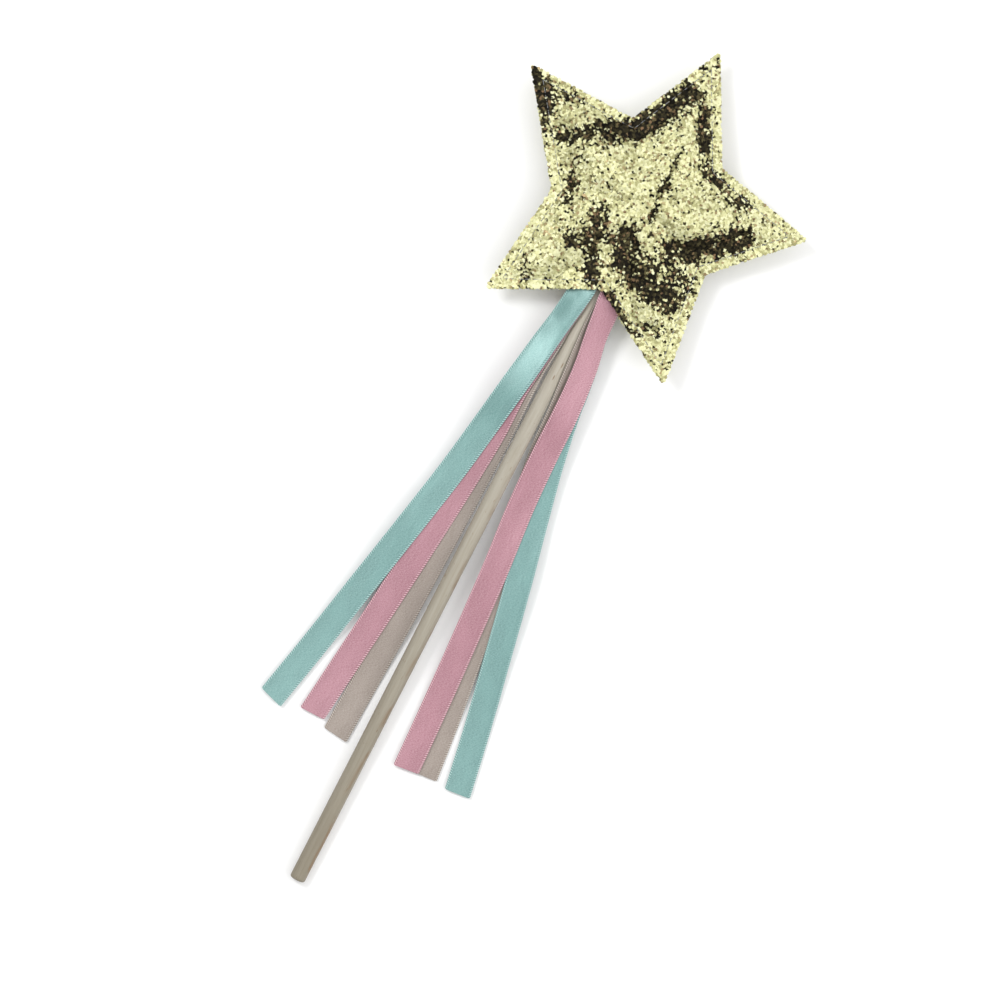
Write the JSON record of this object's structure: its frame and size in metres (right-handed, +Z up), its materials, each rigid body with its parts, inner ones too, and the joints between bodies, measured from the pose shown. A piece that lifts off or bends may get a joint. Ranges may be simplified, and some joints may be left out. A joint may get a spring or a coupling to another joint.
{
  "type": "padded star wand with ribbon tails",
  "caption": "Stuffed glitter-cloth star on a round wooden dowel, with satin ribbon tails hanging from the star's bottom notch in two stacks that lift.",
  "frame": {"origin": "on the surface that the wand lies on, under the middle of its outline", "axes": "+Y along the wand from the dowel's free end to the star's top tip, +Z up from the surface, +X to the right of the star's front"},
  "size_m": [0.1222, 0.3501, 0.022],
  "materials": {
    "dowel_wood": "bare sanded light wood with faint grain",
    "glitter_cloth": "chunky pale gold glitter flakes on dark backing cloth",
    "filling_fibre": "loose white stuffing",
    "seam_thread": "grey sewing thread",
    "hot_glue": "cloudy hot-melt glue",
    "mint_satin": "satin weave with woven selvedges",
    "pink_satin": "satin weave with woven selvedges",
    "taupe_satin": "satin weave with woven selvedges"
  },
  "bodies": {
    "wand": {"dowel": "dowel_wood", "star_front_cover": "glitter_cloth", "star_back_cover": "glitter_cloth", "star_filling": "filling_fibre", "needle_thread": "seam_thread", "bobbin_thread": "seam_thread", "glue_bead": "hot_glue", "taupe_fold": "taupe_satin", "mint_fold": "mint_satin", "pink_fold": "pink_satin"},
    "taupe_left": {"taupe_left_tail": "taupe_satin", "pink_left_root": "pink_satin", "mint_left_root": "mint_satin"},
    "pink_left": {"pink_left_tail": "pink_satin", "mint_left_middle": "mint_satin"},
    "mint_left": {"mint_left_tail": "mint_satin"},
    "taupe_right": {"taupe_right_tail": "taupe_satin", "mint_right_root": "mint_satin", "pink_right_root": "pink_satin"},
    "mint_right": {"mint_right_tail": "mint_satin", "pink_right_middle": "pink_satin"},
    "pink_right": {"pink_right_tail": "pink_satin"}
  },
  "joints": [
    {"name": "taupe_left_lift", "type": "hinge", "parent": "wand", "child": "taupe_left", "pos_m": [0, 0.0678, 0.016], "axis": [-1, 0, 0], "range_deg": [0, 60]},
    {"name": "pink_left_lift", "type": "hinge", "parent": "taupe_left", "child": "pink_left", "pos_m": [0, 0.0483, 0.0156], "axis": [-1, 0, 0], "range_deg": [0, 25]},
    {"name": "mint_left_lift", "type": "hinge", "parent": "pink_left", "child": "mint_left", "pos_m": [0, 0.0283, 0.0136], "axis": [-1, 0, 0], "range_deg": [0, 25]},
    {"name": "taupe_right_lift", "type": "hinge", "parent": "wand", "child": "taupe_right", "pos_m": [0, 0.0678, 0.016], "axis": [-1, 0, 0], "range_deg": [0, 60]},
    {"name": "mint_right_lift", "type": "hinge", "parent": "taupe_right", "child": "mint_right", "pos_m": [0, 0.0483, 0.0156], "axis": [-1, 0, 0], "range_deg": [0, 25]},
    {"name": "pink_right_lift", "type": "hinge", "parent": "mint_right", "child": "pink_right", "pos_m": [0, 0.0283, 0.0136], "axis": [-1, 0, 0], "range_deg": [0, 25]}
  ]
}
